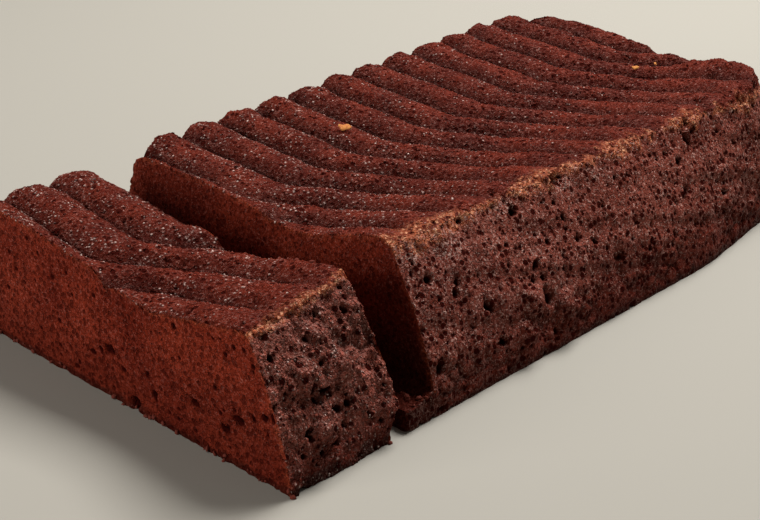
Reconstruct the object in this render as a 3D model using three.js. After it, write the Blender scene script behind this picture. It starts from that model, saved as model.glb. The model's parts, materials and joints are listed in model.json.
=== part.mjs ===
// Chocolate loaf cake with a ribbed, dished top and one thick slice cut off its near end.
// Millimetres, +Z up. X runs along the length from the slice to the far end,
// Y runs across the width from the leaning long side to the steep one.
// Lengths below are measured from the cut face of the loaf and from the foot of the leaning side.
import * as THREE from 'three';

// Plan: rim is the outline of the top, foot the outline on the ground
const FAR_RIM = 226;
const FAR_FOOT = 233;
const CORNER_RIM = 32;
const CORNER_FOOT = 38;
const LEAN_RIM = 22.5;
const LEAN_RIM_SLICE = 15.3;
const LEAN_FOOT_TAPER = 7.6;
const TAPER_FROM = 132;
const TAPER_TO = 208;
const STEEP_RIM = 147.2;
const STEEP_FOOT = 150.4;
const STEEP_SPREAD = 4.4;
const SPREAD_LENGTH = 204;
const LEAN_POWER = 1.6;

// Heights of the dished top: steep-side plateau, trough and leaning-side shoulder
const PLATEAU = 46.2;
const PLATEAU_RISE = 3.4;
const PLATEAU_Y = 130.5;
const TROUGH = 39.6;
const TROUGH_RISE = 3.1;
const TROUGH_SLICE_DROP = 2.5;
const TROUGH_Y = 67.5;
const SHOULDER = 48.6;
const SHOULDER_SLICE_DROP = 4.5;
const SHOULDER_Y = 25.2;
const SHOULDER_SLICE_SHIFT = 9;
const PLATEAU_SLICE_DROP = 0.4;
const KNOB_RISE = 1.6;
const KNOB_Y = 128;
const KNOB_WIDTH = 18;
const KNOB_RUN = 14;
const FAR_CORNER_RISE = 1.2;
const FAR_CORNER_X = 181;
const FAR_CORNER_LENGTH = 32;
const FAR_CORNER_Y = 58;
const FAR_CORNER_WIDTH = 27;
const LIP_RISE = 5;
const LIP_X = 192;
const LIP_LENGTH = 32;
const LIP_Y = 52;
const LIP_WIDTH = 17;

// Ribs across the top, swept along the length where they cross the trough
const RIB_PITCH = 17.64;
const RIB_DEPTH = 4.2;
const RIB_ROUNDNESS = 0.8;
const GROOVE_X = 21.1;
const SWEEP = 26.1;
const SWEEP_FROM = 95.4;
const SWEEP_TO = 59.4;
const SCALLOP = 1.6;
const SCALLOP_POWER = 6;

// The slice's ribs stand forward of the loaf's, less so towards the steep side
const SLICE_SHIFT = -7.6;
const SWING = 3.5;
const SWING_FROM = 105;
const SWING_LENGTH = 35;

// Share of the groove depth left at the leaning rim, at the steep rim and at the loaf's cut
const FADE_LEAN = 0.12;
const FADE_LEAN_WIDTH = 15;
const FADE_STEEP = 0.8;
const FADE_STEEP_WIDTH = 14;
const FADE_CUT = 0.35;
const FADE_CUT_RUN = 12;
const FADE_CUT_Y = 95;
const FADE_CUT_WIDTH = 25;

// Rounded edges of the top
const STEEP_NIP = 3;
const STEEP_NIP_RUN = 7;
const STEEP_EDGE = 7.2;
const STEEP_EDGE_DROP = 2.2;
const LEAN_EDGE = 4;
const LEAN_EDGE_DROP = 1.4;
const FAR_EDGE = 8;
const FAR_EDGE_DROP = 0.4;

// Cuts: slice between two faces with a torn back corner, flared loaf with a torn strip at its foot
const SLICE_FRONT = -63;
const SLICE_FRONT_RIM = -62.6;
const SLICE_BACK = -19.4;
const SLICE_BACK_RIM = -21.2;
const TORN = 5;
const TORN_TOP = 0.3;
const TORN_FROM = 0.7;
const TORN_POWER = 9;
const CUT_FLARE = 4.2;
const STRIP_LENGTH = 10.6;
const STRIP_RAGGED = 1.6;
const STRIP_TOP = 0.13;
const STRIP_ROOT = 0.16;
const STRIP_REACH = 0.1;
const STRIP_WAVES = 23;

// Crags: lumps on the baked sides and the ragged crust along the leaning rim
const CRAG = 0.55;
const CRAG_LENGTH = 21;
const CRAG_SLANT = 0.6;
const CRAG_PHASE = 1.3;
const FINE_CRAG = 1.9;
const FINE_SHARE = 0.6;
const CRUST_RAGGED = 0.8;
const CRUST_LENGTH = 9;
const CRUST_SWELL = 31;
const CRUST_HEIGHT_POWER = 4;
const CRUST_WIDTH_POWER = 6;
const SLICE_CRAG = 1.4;
const CALM = 0.05;

// Grid: steps along, steps across crowded a little to both edges, levels up
const LOAF_STEPS = 88;
const SLICE_STEPS = 20;
const CROSS_STEPS = 34;
const CROWD = 0.25;
const LOAF_LEVELS = [0, 0.06, STRIP_TOP, STRIP_ROOT, 0.3, 0.45, 0.6, 0.75, 0.88, 1];
const SLICE_LEVELS = [0, 0.08, 0.2, 0.34, 0.48, 0.62, 0.76, 0.89, 1];

const mix = (a, b, t) => a + (b - a) * t;
const clamp = (t) => Math.min(1, Math.max(0, t));
const smooth = (t) => clamp(t) ** 2 * (3 - 2 * clamp(t));

// Share of the way along the loaf, and share of the way to the front of the slice
const along = (x) => clamp(x / SPREAD_LENGTH);
const ahead = (x) => clamp(x / SLICE_FRONT);

const leanRim = (x) => mix(LEAN_RIM, LEAN_RIM_SLICE, ahead(x));
const leanFoot = (x) => LEAN_FOOT_TAPER * smooth((x - TAPER_FROM) / (TAPER_TO - TAPER_FROM));
const nip = (x) => STEEP_NIP * Math.exp(-Math.abs(x) / STEEP_NIP_RUN);
const steepRim = (x) => STEEP_RIM + STEEP_SPREAD * along(x) - nip(x);
const steepFoot = (x) => STEEP_FOOT + STEEP_SPREAD * along(x);

const sliceShift = (y) => SLICE_SHIFT + SWING * smooth((y - SWING_FROM) / SWING_LENGTH);

// Rib profile: 0 on the crest, -1 at the bottom of the narrow groove
function rib(x, y, shift) {
  const swept = SWEEP * smooth((SWEEP_FROM - y) / (SWEEP_FROM - SWEEP_TO));
  const phase = (x - shift - GROOVE_X - swept) / RIB_PITCH;
  return Math.abs(Math.sin(Math.PI * phase)) ** RIB_ROUNDNESS - 1;
}

// Level of the rib crests: a trough between the plateau and the shoulder, closed by a lip at the far end
function dish(x, y) {
  const trough = TROUGH + TROUGH_RISE * along(x) - TROUGH_SLICE_DROP * ahead(x);
  const plateau = PLATEAU + PLATEAU_RISE * along(x) - PLATEAU_SLICE_DROP * ahead(x);
  const shoulder = SHOULDER - SHOULDER_SLICE_DROP * ahead(x);
  const shoulderY = SHOULDER_Y - SHOULDER_SLICE_SHIFT * ahead(x);
  const toPlateau = 1 - (1 - clamp((y - TROUGH_Y) / (PLATEAU_Y - TROUGH_Y))) ** 2;
  const toShoulder = smooth((TROUGH_Y - y) / (TROUGH_Y - shoulderY));
  const knobs = KNOB_RISE * smooth((y - KNOB_Y) / KNOB_WIDTH) * smooth(x / KNOB_RUN);
  const corner = FAR_CORNER_RISE * smooth((x - FAR_CORNER_X) / FAR_CORNER_LENGTH)
    * smooth((FAR_CORNER_Y - y) / FAR_CORNER_WIDTH);
  const lip = LIP_RISE * smooth((x - LIP_X) / LIP_LENGTH) * Math.exp(-(((y - LIP_Y) / LIP_WIDTH) ** 2));
  const sides = (plateau - trough) * toPlateau + (shoulder - trough) * toShoulder;
  return trough + sides + knobs + corner + lip;
}

function topHeight(x, y, shift) {
  const lean = mix(FADE_LEAN, 1, smooth((y - leanRim(x)) / FADE_LEAN_WIDTH));
  const steep = mix(FADE_STEEP, 1, smooth((steepRim(x) - y) / FADE_STEEP_WIDTH));
  const clear = Math.max(smooth(Math.abs(x) / FADE_CUT_RUN), smooth((y - FADE_CUT_Y) / FADE_CUT_WIDTH));
  return dish(x, y) + RIB_DEPTH * lean * steep * mix(FADE_CUT, 1, clear) * rib(x, y, shift);
}

// Share of an edge drop: 1 on the rim, 0 one edge width in from it
const edge = (distance, width) => (1 - clamp(distance / width)) ** 2;

// Lumps of the baked sides, even in size but not in place
function crag(x, z) {
  const k = (2 * Math.PI) / CRAG_LENGTH;
  const rising = k * (x + CRAG_SLANT * z);
  const falling = k * (z - CRAG_SLANT * x) + CRAG_PHASE;
  const wide = Math.sin(rising) * Math.sin(falling);
  const fine = Math.sin(FINE_CRAG * falling) * Math.sin(FINE_CRAG * rising + CRAG_PHASE);
  return CRAG * (wide + FINE_SHARE * fine);
}

// Ragged crust, strongest along the leaning rim
function crustAt(x, b, c) {
  const wave = Math.sin((2 * Math.PI * x) / CRUST_LENGTH) * Math.sin((2 * Math.PI * x) / CRUST_SWELL + 1);
  return CRUST_RAGGED * wave * c ** CRUST_HEIGHT_POWER * (1 - b) ** CRUST_WIDTH_POWER;
}

// Plan point of an outline with two rounded far corners, a along it and b across it
function outline(a, b, farEnd, radius, near, far) {
  const trim = radius * (1 - Math.SQRT1_2);
  const cornerX = farEnd - trim;
  const width = far(cornerX) - near(cornerX);
  const across = mix(trim, width - trim, b);
  const dipNear = Math.max(0, radius - across);
  const dipFar = Math.max(0, radius - (width - across));
  const endX = farEnd - 2 * radius + Math.sqrt(radius ** 2 - dipNear ** 2)
    + Math.sqrt(radius ** 2 - dipFar ** 2);
  const sideX = a * cornerX;
  const bend = Math.max(0, sideX - (farEnd - radius));
  const arc = radius - Math.sqrt(radius ** 2 - bend ** 2);
  return [a * endX, mix(near(sideX) + arc, far(sideX) - arc, b)];
}

// Point of the loaf for box parameters a along, b across and c up
function loafPoint(a, b, c) {
  const [footX, footY] = outline(a, b, FAR_FOOT, CORNER_FOOT, leanFoot, steepFoot);
  const [rimX, rimY] = outline(a, b, FAR_RIM, CORNER_RIM, leanRim, steepRim);
  const drop = STEEP_EDGE_DROP * edge(steepRim(rimX) - rimY, STEEP_EDGE)
    + LEAN_EDGE_DROP * edge(rimY - leanRim(rimX), LEAN_EDGE)
    + FAR_EDGE_DROP * edge(FAR_RIM - rimX, FAR_EDGE);
  const z = c * (topHeight(rimX, rimY, 0) - drop);
  const leaning = c ** LEAN_POWER;
  const scallop = SCALLOP * rib(rimX, STEEP_RIM, 0) * b ** SCALLOP_POWER;
  const atCut = 1 - smooth(a / STRIP_REACH);
  const tear = STRIP_LENGTH + STRIP_RAGGED * Math.sin(STRIP_WAVES * b + 1);
  const strip = c <= STRIP_TOP ? tear * atCut : 0;
  const x = mix(footX - CUT_FLARE * atCut, rimX, leaning) - strip;
  const y = mix(footY, rimY + scallop, leaning);
  const side = Math.sin(Math.PI * c) * smooth(a / CALM);
  const crust = crustAt(x, b, c) * smooth(a / CALM);
  const lumps = crag(x, z) * side;
  const outY = (b === 0 ? -1 : 0) + (b === 1 ? 1 : 0);
  const outX = a === 1 ? 1 : 0;
  return [x + lumps * outX, y + lumps * outY + crust, z];
}

// Point of the slice for the same parameters, between its two cut faces
function slicePoint(a, b, c) {
  const footX = mix(SLICE_FRONT, SLICE_BACK, a);
  const rimX = mix(SLICE_FRONT_RIM, SLICE_BACK_RIM, a);
  const rimY = mix(leanRim(rimX), steepRim(rimX), b);
  const drop = STEEP_EDGE_DROP * edge(steepRim(rimX) - rimY, STEEP_EDGE)
    + LEAN_EDGE_DROP * edge(rimY - leanRim(rimX), LEAN_EDGE);
  const z = c * (topHeight(rimX, rimY, sliceShift(rimY)) - drop);
  const leaning = c ** LEAN_POWER;
  const scallop = SCALLOP * rib(rimX, STEEP_RIM, sliceShift(STEEP_RIM)) * b ** SCALLOP_POWER;
  const atBack = smooth((a - TORN_FROM) / (1 - TORN_FROM)) * (1 - b) ** TORN_POWER;
  const x = mix(footX, rimX, leaning) - TORN * atBack * smooth((TORN_TOP - c) / TORN_TOP);
  const y = mix(mix(leanFoot(footX), steepFoot(footX), b), rimY + scallop, leaning);
  const side = Math.sin(Math.PI * c) * smooth(a / (2 * CALM)) * smooth((1 - a) / (2 * CALM));
  const outY = (b === 0 ? -1 : 0) + (b === 1 ? 1 : 0);
  const crust = crustAt(x, b, c);
  return [x, y + SLICE_CRAG * crag(x, z) * side * outY + crust, z];
}

// Closed surface of a box of parameters: five gridded faces and a plain flat foot
function block(point, aLast, cLevels) {
  const bLast = CROSS_STEPS;
  const cLast = cLevels.length - 1;
  const positions = [];
  const triangles = [];
  const known = new Map();
  const bLevel = (j) => j / bLast - (CROWD * Math.sin((2 * Math.PI * j) / bLast)) / (2 * Math.PI);

  const vertex = (i, j, k) => {
    const key = `${i},${j},${k}`;
    if (!known.has(key)) {
      known.set(key, positions.length / 3);
      const across = j === 0 ? 0 : j === bLast ? 1 : bLevel(j);
      positions.push(...point(i / aLast, across, cLevels[k]));
    }
    return known.get(key);
  };
  const quad = (p, q, r, s) => triangles.push(p, q, r, p, r, s);

  for (let i = 0; i < aLast; i += 1) {
    for (let j = 0; j < bLast; j += 1) {
      const near = vertex(i + 1, j, cLast);
      quad(near, vertex(i + 1, j + 1, cLast), vertex(i, j + 1, cLast), vertex(i, j, cLast));
    }
    for (let k = 0; k < cLast; k += 1) {
      quad(vertex(i, 0, k), vertex(i + 1, 0, k), vertex(i + 1, 0, k + 1), vertex(i, 0, k + 1));
      const last = [vertex(i, bLast, k), vertex(i, bLast, k + 1)];
      quad(last[0], last[1], vertex(i + 1, bLast, k + 1), vertex(i + 1, bLast, k));
    }
  }
  for (let j = 0; j < bLast; j += 1) {
    for (let k = 0; k < cLast; k += 1) {
      const front = [vertex(0, j, k), vertex(0, j, k + 1)];
      quad(front[0], front[1], vertex(0, j + 1, k + 1), vertex(0, j + 1, k));
      const back = [vertex(aLast, j, k), vertex(aLast, j + 1, k)];
      quad(back[0], back[1], vertex(aLast, j + 1, k + 1), vertex(aLast, j, k + 1));
    }
    triangles.push(vertex(1, 0, 0), vertex(0, j, 0), vertex(0, j + 1, 0));
    triangles.push(vertex(aLast - 1, 0, 0), vertex(aLast, j + 1, 0), vertex(aLast, j, 0));
  }
  for (let i = 1; i < aLast - 1; i += 1) {
    quad(vertex(i, 0, 0), vertex(i, bLast, 0), vertex(i + 1, bLast, 0), vertex(i + 1, 0, 0));
  }
  triangles.push(vertex(1, 0, 0), vertex(0, bLast, 0), vertex(1, bLast, 0));
  triangles.push(vertex(aLast - 1, 0, 0), vertex(aLast - 1, bLast, 0), vertex(aLast, bLast, 0));

  const geometry = new THREE.BufferGeometry();
  geometry.setAttribute('position', new THREE.Float32BufferAttribute(positions, 3));
  geometry.setIndex(triangles);
  return geometry;
}

// The frame stands at the middle of the bounding box of both pieces, on the ground
function centre(geometries) {
  const box = new THREE.Box3();
  geometries.forEach((geometry) => {
    geometry.computeBoundingBox();
    box.union(geometry.boundingBox);
  });
  const middle = box.getCenter(new THREE.Vector3());
  geometries.forEach((geometry) => {
    geometry.translate(-middle.x, -middle.y, -box.min.z);
    geometry.computeVertexNormals();
  });
}

function piece(name, geometry, colour) {
  const material = new THREE.MeshStandardMaterial({ color: colour, roughness: 0.75, metalness: 0 });
  const mesh = new THREE.Mesh(geometry, material);
  mesh.name = name;
  return mesh;
}

const loaf = block(loafPoint, LOAF_STEPS, LOAF_LEVELS);
const slice = block(slicePoint, SLICE_STEPS, SLICE_LEVELS);
centre([loaf, slice]);

const cake = new THREE.Group();
cake.name = 'chocolate_cake';
cake.add(piece('loaf', loaf, 0x55281f));
cake.add(piece('slice', slice, 0x572419));

export default cake;
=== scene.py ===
"""Chocolate loaf cake with a ribbed, dished top and one thick slice cut off its near end.

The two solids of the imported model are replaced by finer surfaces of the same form, which add
pores, crags and a broken crust line. Granules, loose crumbs and flakes lie on them. The file is
laid out as an add-on and runs as a script.
"""

import json

import bpy
import numpy as np
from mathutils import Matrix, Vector

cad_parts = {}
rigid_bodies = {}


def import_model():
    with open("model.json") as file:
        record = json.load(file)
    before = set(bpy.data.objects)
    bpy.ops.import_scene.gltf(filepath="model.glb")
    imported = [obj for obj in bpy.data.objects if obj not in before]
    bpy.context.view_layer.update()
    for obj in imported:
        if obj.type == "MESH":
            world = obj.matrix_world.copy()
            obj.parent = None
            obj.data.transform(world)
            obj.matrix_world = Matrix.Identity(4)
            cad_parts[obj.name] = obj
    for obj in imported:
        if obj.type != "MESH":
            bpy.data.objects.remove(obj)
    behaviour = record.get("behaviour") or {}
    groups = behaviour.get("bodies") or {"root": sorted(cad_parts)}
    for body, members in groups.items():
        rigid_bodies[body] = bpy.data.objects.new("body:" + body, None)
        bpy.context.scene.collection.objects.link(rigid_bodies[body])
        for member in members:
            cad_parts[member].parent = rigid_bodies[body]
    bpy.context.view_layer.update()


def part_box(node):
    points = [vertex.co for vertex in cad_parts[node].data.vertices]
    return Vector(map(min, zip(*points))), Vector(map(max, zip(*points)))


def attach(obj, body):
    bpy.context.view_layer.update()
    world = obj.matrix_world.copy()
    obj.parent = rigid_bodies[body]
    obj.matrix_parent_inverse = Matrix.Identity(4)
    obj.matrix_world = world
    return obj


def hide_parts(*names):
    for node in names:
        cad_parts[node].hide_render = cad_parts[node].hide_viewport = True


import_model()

bl_info = {
    "name": "Chocolate loaf cake",
    "version": (1, 0, 0),
    "blender": (4, 5, 0),
    "location": "3D View > Sidebar > Cake",
    "description": "Builds a ribbed chocolate loaf cake with one slice cut off",
    "category": "Add Mesh",
}

# Millimetres in a metre
MM = 1000

# The form below is in millimetres, as the solids have it: x from the cut face of the loaf towards
# its far end, y from the foot of the leaning long side, z up from the ground.

# Plan: rim is the outline of the top, foot the outline on the ground
FAR_RIM, FAR_FOOT = 226.0, 233.0
CORNER_RIM, CORNER_FOOT = 32.0, 38.0
LEAN_RIM, LEAN_RIM_SLICE, LEAN_FOOT_TAPER = 22.5, 15.3, 7.6
TAPER_FROM, TAPER_TO = 132.0, 208.0
STEEP_RIM, STEEP_FOOT, STEEP_SPREAD, SPREAD_LENGTH = 147.2, 150.4, 4.4, 204.0
LEAN_POWER = 1.6

# Heights of the dished top: steep-side plateau, trough and leaning-side shoulder
PLATEAU, PLATEAU_RISE, PLATEAU_Y, PLATEAU_SLICE_DROP = 46.2, 3.4, 130.5, 0.4
TROUGH, TROUGH_RISE, TROUGH_Y, TROUGH_SLICE_DROP = 39.6, 3.1, 67.5, 2.5
SHOULDER, SHOULDER_Y, SHOULDER_SLICE_DROP, SHOULDER_SLICE_SHIFT = 48.6, 25.2, 4.5, 9.0
KNOB_RISE, KNOB_Y, KNOB_WIDTH, KNOB_RUN = 1.6, 128.0, 18.0, 14.0
FAR_CORNER_RISE, FAR_CORNER_X, FAR_CORNER_LENGTH = 1.2, 181.0, 32.0
FAR_CORNER_Y, FAR_CORNER_WIDTH = 58.0, 27.0
LIP_RISE, LIP_X, LIP_LENGTH, LIP_Y, LIP_WIDTH = 5.0, 192.0, 32.0, 52.0, 17.0

# Ribs across the top, swept along the length where they cross the trough
RIB_PITCH, RIB_ROUNDNESS, GROOVE_X = 17.64, 0.8, 21.1
SWEEP, SWEEP_FROM, SWEEP_TO = 26.1, 95.4, 59.4
SCALLOP, SCALLOP_POWER = 1.6, 6

# The slice's ribs stand forward of the loaf's, less so towards the steep side
SLICE_SHIFT, SWING, SWING_FROM, SWING_LENGTH = -7.6, 3.5, 105.0, 35.0

# Share of the groove depth left at the leaning rim, at the steep rim and at the loaf's cut
FADE_LEAN, FADE_LEAN_WIDTH, FADE_STEEP, FADE_STEEP_WIDTH = 0.12, 15.0, 0.8, 14.0
FADE_CUT, FADE_CUT_RUN, FADE_CUT_Y, FADE_CUT_WIDTH = 0.35, 12.0, 95.0, 25.0

# Rounded edges of the top
STEEP_NIP, STEEP_NIP_RUN, STEEP_EDGE, STEEP_EDGE_DROP = 3.0, 7.0, 7.2, 2.2
LEAN_EDGE, LEAN_EDGE_DROP, FAR_EDGE, FAR_EDGE_DROP = 4.0, 1.4, 8.0, 0.4

# Cuts: slice between two faces with a torn back corner, flared loaf with a torn strip at its foot
SLICE_FRONT, SLICE_FRONT_RIM, SLICE_BACK, SLICE_BACK_RIM = -63.0, -62.6, -19.4, -21.2
TORN, TORN_TOP, TORN_FROM, TORN_POWER = 5.0, 0.3, 0.7, 9
CUT_FLARE, STRIP_LENGTH, STRIP_RAGGED, STRIP_TOP, STRIP_ROOT = 4.2, 10.6, 1.6, 0.13, 0.16
STRIP_REACH, STRIP_WAVES = 0.1, 23.0

# Crags of the baked sides and the ragged crust along the leaning rim
CRAG, CRAG_LENGTH, CRAG_SLANT, CRAG_PHASE = 0.55, 21.0, 0.6, 1.3
FINE_CRAG, FINE_SHARE, SLICE_CRAG, CALM = 1.9, 0.6, 1.4, 0.05
CRUST_RAGGED, CRUST_LENGTH, CRUST_SWELL = 0.8, 9.0, 31.0
CRUST_HEIGHT_POWER, CRUST_WIDTH_POWER = 4, 6
WIDE_CRUST_X, WIDE_CRUST_LENGTH = 22.0, 18.0
# Painted wet shine below the leaning rim: placed patches by x and share of the height, their half sizes, and
# the painted shine of the rest, which ends that far from the cut
PAINTED_SHINE_PATCHES = np.array([(4, 0.92), (21, 0.87), (50, 0.95), (80, 0.93), (97, 0.91)])
SHINE_PATCH_LENGTH, SHINE_PATCH_HEIGHT, PAINTED_SHINE_SKIN, PAINTED_SHINE_END = 5.0, 0.05, 0.18, 110.0
# Towards the far end the top's skin hangs over the leaning rim
OVERHANG, OVERHANG_FROM, OVERHANG_RUN = 6.5, 140.0, 95.0

# Cells along, across and up; the loaf's levels crowd into the step of the torn strip
LOAF_CELLS, SLICE_CELLS = (290, 132, 68), (84, 270, 84)
STRIP_LEVELS, RIM_CROWD = (8, 12), 0.25
# Width of the top and height of the leaning side, measured along the surface
TOP_WIDTH, SIDE_HEIGHT = 125.0, 54.0
# Areas that granules cover, in square millimetres
LOAF_TOP_AREA, SLICE_TOP_AREA, SLICE_END_AREA = 29000.0, 5600.0, 2200.0
LOAF_CRUST_AREA, SLICE_CRUST_AREA = 900.0, 90.0

# Material slots of the surfaces
TOP, SIDE, CUT, END = range(4)

# Random swell in layers: size of the lumps, their height in millimetres or as a share, and a seed
TOP_SWELL = ((11, 0.35, 6), (4.6, 0.25, 7), (1.9, 0.2, 27))
KNOB_SWELL = ((6.5, 0.8, 13), (3.1, 0.8, 14))
SIDE_SWELL = ((8, 1.0, 1), (3.4, 0.6, 2), (1.6, 0.5, 15))
BREAK_SWELL = ((17, 1.5, 16),)
CUT_SWELL = ((1.6, 0.12, 9), (13, 0.2, 12))
TEAR_SWELL = ((3.8, 1.0, 18), (1.9, 0.8, 19))
EDGE_SWELL = ((2.4, 0.5, 28), (1.3, 0.4, 29))
CRUST_RELIEF = ((2.4, 0.8, 24), (1.3, 0.4, 25))
CRUST_WIDTHS = ((13, 1.4, 21), (4.3, 1.1, 22))
CRUST_BREAKS = ((2.4, 1.8, 23), (6, 1.2, 26))
FOOT_SWELL = ((3.1, 2.0, 30),)
RIM_SWELL = ((2.2, 0.6, 31),)
GLINT_SWELL = ((8, 0.9, 33),)

# Pores: spacing, largest radius, share of the cells that hold one, and a seed
TOP_PORES = (4.4, 1.3, 0.5, 8)
SIDE_PORES, LARGE_SIDE_PORES = (3.4, 1.2, 0.6, 4), (8, 2.1, 0.45, 5)
# On the cuts that share comes with the piece, and the large pores have this part of it
CUT_PORES, LARGE_CUT_PORES, LARGE_CUT_PART, CUT_SEED = (4.2, 1.1), (10, 1.8), 0.7, 10
# Depths of the pores, for the large ones of the sides in shares of the common depth
TOP_PORE_DEPTH, CUT_PORE_DEPTH, LARGE_CUT_DEPTH, LARGE_SIDE_DEPTH = 0.9, 0.6, 1.3, 1.7
# Radius of the smallest pores in shares of the largest, and what spreads their sizes
SMALL_PORE, PORE_SPREAD = 0.5, 9
# Least length that anything is divided by
TINY = 1e-9
# Placed holes and clods: what frays their edges, and depth and height in shares of the radius
FRAY, FRAY_SIZE, FRAY_SEEDS, HOLE_DEPTH, CLOD_HEIGHT = 1.3, 2.6, (41, 42, 43), 1.25, 0.45

# Knobs of the top: near the steep rim, weaker on the slice, and at the far end
KNOBS_FROM, KNOBS_WIDTH, SLICE_KNOBS, FAR_KNOBS_X, FAR_KNOBS_RUN = 0.8, 0.16, 0.4, 180.0, 40.0
# Filled bottom of a groove and its painted shade, which climbs the ribs on both sides, in shares of a rib
FILL_WIDTH, FRONT_SHADE, FRONT_RUN, BACK_FROM, BACK_RUN = 0.1, 0.8, 0.5, 0.88, 0.1
BOTTOM_SHADE, BOTTOM_RUN = 1.3, 0.12

# Broken skin by share of the height: low on the sides, and on a rough end all over but less near the top
LOW_FROM, LOW_RUN, LOW_BREAKS = 0.5, 0.4, 0.8
ROUGH_END, END_BREAKS, END_TOP_BREAKS, END_TOP, END_TOP_RUN = 1.5, 0.7, 0.3, 0.6, 0.2
BREAK_COVER, CLOD_SIZE, CLOD_SEED, CREVICE_WIDTH, CREVICE_DEPTH = 0.6, 6.5, 17, 0.35, 2.3
# Lumps and crevices calm down towards the foot
FOOT_LUMPS, FOOT_LUMPS_RUN, FOOT_CALM = 0.4, 0.15, 0.1

# Painted shade on the cuts: the torn edge, and low down and towards the leaning side
TEAR_ABOVE, TEAR_RUN, TEAR_SHADE, CUT_SHADE = 0.02, 0.03, 0.85, 0.8
CUT_SHADOW_TOP, CUT_SHADOW_RUN, CUT_SHADOW_Y, CUT_SHADOW_WIDTH = 0.8, 0.5, 85.0, 60.0
# Edges of the cuts: sunk, more ragged where torn, and lighter to a width: painted highlight of the edge, and
# drier crumb
EDGE_SUNK, TEAR_RAGGED, DRY_HIGHLIGHT_RIM, RIM_WIDTH = 0.2, 1.5, 1.3, 1.8

# Broken crust: evener on the slice, wide near the loaf's cut, narrower down the side, gone at the far end
CRUST_UNEVEN_SLICE, CRUST_NARROW, WIDE_CRUST, CRUST_DOWN = 0.3, 0.15, 1.4, 1.5
CRUST_REACH, CRUST_LEAST, CRUST_SHARP, CRUST_LIFT, CRUST_END = 1.7, 0.3, 1.4, 0.1, 0.93

# Painted shade at the foot, painted warm bounce light that makes the skin above it redder, and painted
# shadow on the outer side of the torn strip
FOOT_DARK, FOOT_FADE, FOOT_SHADE, RED_FROM, RED_RUN = 4.0, 3.5, 0.9, 0.45, 0.4
STRIP_SHADE, STRIP_SHADE_RUN = 0.75, 6.0
# Least height of what isn't on the ground, and the angle from which an edge stays sharp
LEAST_RISE, SHARP_ANGLE = 0.05, 55.0
# Painted wet glints of the top: fewer towards the leaning rim and the far end
GLINT_CROWD_Y, GLINT_CROWD_WIDTH, GLINT_CROWD_FAR, GLINT_CROWD_POWER = 12.0, 70.0, 0.12, 0.8
GLINT_COVER, GLINT_SHARE, GLINT_FAINT, GLINT_POWER, GLINT_SEED = 0.6, 0.7, 0.3, 1.5, 70
# Loose crumbs on the crust and the cut edges; granules keep off pores, crust and grooves deep in painted
# shade
LOOSE_CRUST, LOOSE_EDGE, KEEP_OFF, BARE_GROOVE, BARE_GROOVE_RUN = 0.03, 0.15, 1.5, 0.9, 0.2

# Granules and crumbs: least and greatest share of their size, and how they sit
GRANULE_SIDES, GRANULE_REACH, GRANULE_UNEVEN, GRANULE_RISE = 5, (0.3, 0.7), (0.75, 1.25), (0.25, 0.55)
# GRANULE_BASE marks the ring of a granule for the painted shade at its base
GRANULE_SUNK, GRANULE_BASE, CRUMB_LIFT = 0.1, 0.5, 0.25
CRUMB_STRETCH, CRUMB_DENTS, CRUMB_REACH = (0.6, 1.2), (0.75, 1.2), (0.25, 0.85)
# Flakes: cells, and in shares of the length their width, points, wave, round ends, curl and tilt;
# then half their thickness, how much thinner the edges are, and how high they lie
FLAKE_CELLS, FLAKE_WIDTH, FLAKE_POINTS, FLAKE_WAVE, FLAKE_WAVES = (8, 4, 1), 0.22, 0.6, 0.05, 4
FLAKE_ROUND, FLAKE_CURL, FLAKE_TILT, FLAKE_HALF, FLAKE_THIN, FLAKE_LIFT = 0.15, 0.06, 0.6, 0.3, 0.5, 0.9

# Fields of granules: part, where they lie, material slot, area, share of the full size, and how much painted
# wet glint they get
GRANULE_FIELDS = (
    ("loaf", "grainy", TOP, LOAF_TOP_AREA, 1.0, 1.0),
    ("slice", "grainy", TOP, SLICE_TOP_AREA, 1.0, 1.0),
    ("slice", "nodular", END, SLICE_END_AREA, 0.9, 0.7),
    ("loaf", "crust", TOP, LOAF_CRUST_AREA, 0.75, 0.1),
    ("slice", "crust", TOP, SLICE_CRUST_AREA, 0.75, 0.1),
)
# Seed of the first field
FIELD_SEED = 5

# Stage: floor, lamps by name, place, size, power and colour, sky, and the camera that took the photo
FLOOR_HALF, FLOOR_ROUGH = 4.0, 0.8
LAMPS = (
    ("key_light", (0.62, 0.12, 1.1), 0.6, 28.0, (1.0, 0.97, 0.93)),
    ("front_fill", (-1.4, 0.35, 0.5), 0.8, 15.0, (1.0, 0.96, 0.92)),
)
SKY, SKY_STRENGTH = "#F0EAE0", 0.13
CAMERA_PLACE, CAMERA_AIM = (-0.37879, -0.32953, 0.22754), (0.65841, 0.62596, -0.41786)
LENS, SENSOR = 71.06, 36.0

# Larger holes that stand out in the loaf's baked skin: x, y, z and radius
LOAF_HOLES = np.array(
    [
        (140.3, 9.4, 27.3, 2.6), (52.8, 9.0, 27.1, 2.0), (54.5, 4.4, 17.6, 3.0),
        (27.2, 6.7, 22.4, 1.7), (18.5, 12.8, 33.1, 1.7), (1.0, 2.8, 12.7, 2.4),
        (29.1, 2.6, 11.1, 2.0), (54.7, 0.9, 5.6, 1.8), (93.6, 4.9, 17.9, 1.9),
        (151.8, 18.4, 41.0, 2.6), (77.2, 21.8, 45.9, 2.4), (73.6, 14.4, 36.0, 1.7),
        (163.9, 8.1, 19.9, 1.9), (175.9, 29.8, 48.3, 2.6), (31.6, 27.5, 48.2, 1.7),
        (51.0, 26.5, 48.4, 1.5),
    ]
)
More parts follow.
